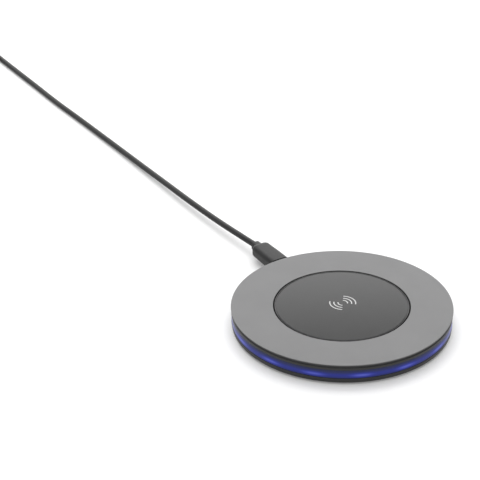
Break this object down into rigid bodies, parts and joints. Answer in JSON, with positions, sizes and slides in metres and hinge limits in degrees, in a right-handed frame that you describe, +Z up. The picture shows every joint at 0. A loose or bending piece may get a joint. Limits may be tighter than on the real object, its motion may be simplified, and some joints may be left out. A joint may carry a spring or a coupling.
{
  "type": "wireless charging pad",
  "caption": "Low round pad that charges a phone laid on it, with a metal rim, a lit edge band and a pull-out USB cable.",
  "frame": {"origin": "under the centre of the round pad, in the plane its rubber feet stand on", "axes": "+Z up through the pad; +Y out of the USB socket, the way the plug is pulled; +X to the right seen from the socket's opposite side"},
  "size_m": [0.1062, 0.4723, 0.01],
  "materials": {
    "ring_metal": "fine satin",
    "case_plastic": "fine matt moulded",
    "disc_plastic": "satin soft-touch",
    "light_guide": "translucent, lit blue from inside",
    "adhesive": "film",
    "rubber": "matt",
    "steel": "nickel plated",
    "board": "solder mask",
    "foam": "open foam",
    "ferrite": "sintered",
    "copper": "enamelled wire",
    "chip": "moulded epoxy",
    "ceramic": "fired ceramic",
    "led": "clear lens",
    "cord_jacket": "satin PVC",
    "insulator": "moulded"
  },
  "bodies": {
    "pad": {"trim_ring": "ring_metal", "ring_adhesive": "adhesive", "centre_disc": "disc_plastic", "disc_gasket": "rubber", "upper_housing": "case_plastic", "light_guide": "light_guide", "bottom_case": "case_plastic", "foot_1": "rubber", "foot_2": "rubber", "foot_3": "rubber", "foot_4": "rubber", "case_screw_1": "steel", "case_screw_2": "steel", "case_screw_3": "steel", "case_screw_4": "steel", "circuit_board": "board", "foam_pad": "foam", "ferrite_shield": "ferrite", "coil_thermistor": "chip", "charging_coil": "copper", "coil_lead_inner": "copper", "coil_lead_outer": "copper", "controller_chip": "chip", "power_stage_1": "chip", "power_stage_2": "chip", "resonant_capacitor_1": "ceramic", "resonant_capacitor_2": "ceramic", "resonant_capacitor_3": "ceramic", "input_inductor": "ferrite", "input_capacitor": "ceramic", "side_led_1": "led", "side_led_2": "led", "side_led_3": "led", "side_led_4": "led", "side_led_5": "led", "side_led_6": "led", "side_led_7": "led", "side_led_8": "led", "side_led_9": "led", "side_led_10": "led", "side_led_11": "led", "side_led_12": "led", "side_led_13": "led", "side_led_14": "led", "side_led_15": "led", "socket_shell": "steel", "socket_tongue": "insulator"},
    "usb_cable": {"plug_grip": "cord_jacket", "plug_tip_shell": "steel", "plug_insulator": "insulator", "cord_run": "cord_jacket", "cord_coil": "cord_jacket", "cord_tail": "cord_jacket", "cable_tie": "rubber", "usb_a_grip": "cord_jacket", "usb_a_shell": "steel", "usb_a_insulator": "insulator"}
  },
  "joints": [
    {"name": "plug_pull", "type": "slide", "parent": "pad", "child": "usb_cable", "axis": [0, 1, 0], "range_m": [0, 0.012]}
  ]
}
